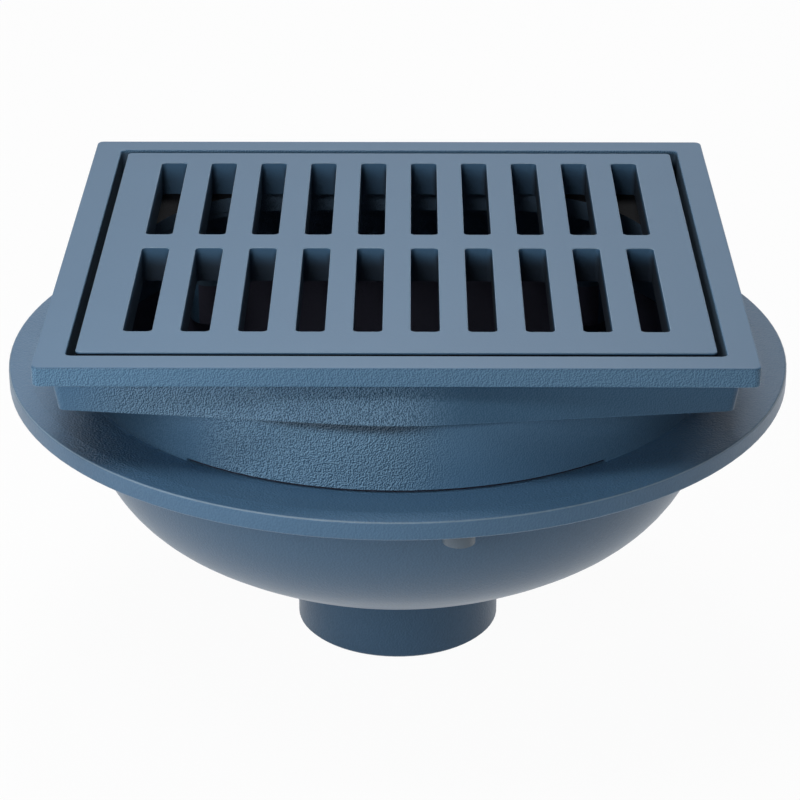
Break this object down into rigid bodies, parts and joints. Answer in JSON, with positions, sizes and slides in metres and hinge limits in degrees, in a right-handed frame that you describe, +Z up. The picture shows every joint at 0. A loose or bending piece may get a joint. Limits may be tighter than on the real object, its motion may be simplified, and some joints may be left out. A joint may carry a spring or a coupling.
{
  "type": "area drain",
  "caption": "Coated cast-iron area drain: rounded sump body with bottom spigot outlet, dished round flange, clamping collar with rectangular frame, and loose slotted grate.",
  "frame": {"origin": "centre of the outlet spigot's lower end, the lowest point of the drain", "axes": "+Z up along the outlet axis, X along the longer side of the frame, -Y towards the front"},
  "size_m": [0.4178, 0.4178, 0.2211],
  "materials": {
    "coated_casting": "blue-grey epoxy coating, satin",
    "bolt_steel": "plain steel"
  },
  "bodies": {
    "root": {"drain_body": "coated_casting", "top_frame": "coated_casting", "grate": "coated_casting", "clamp_bolts": "bolt_steel"}
  },
  "joints": []
}
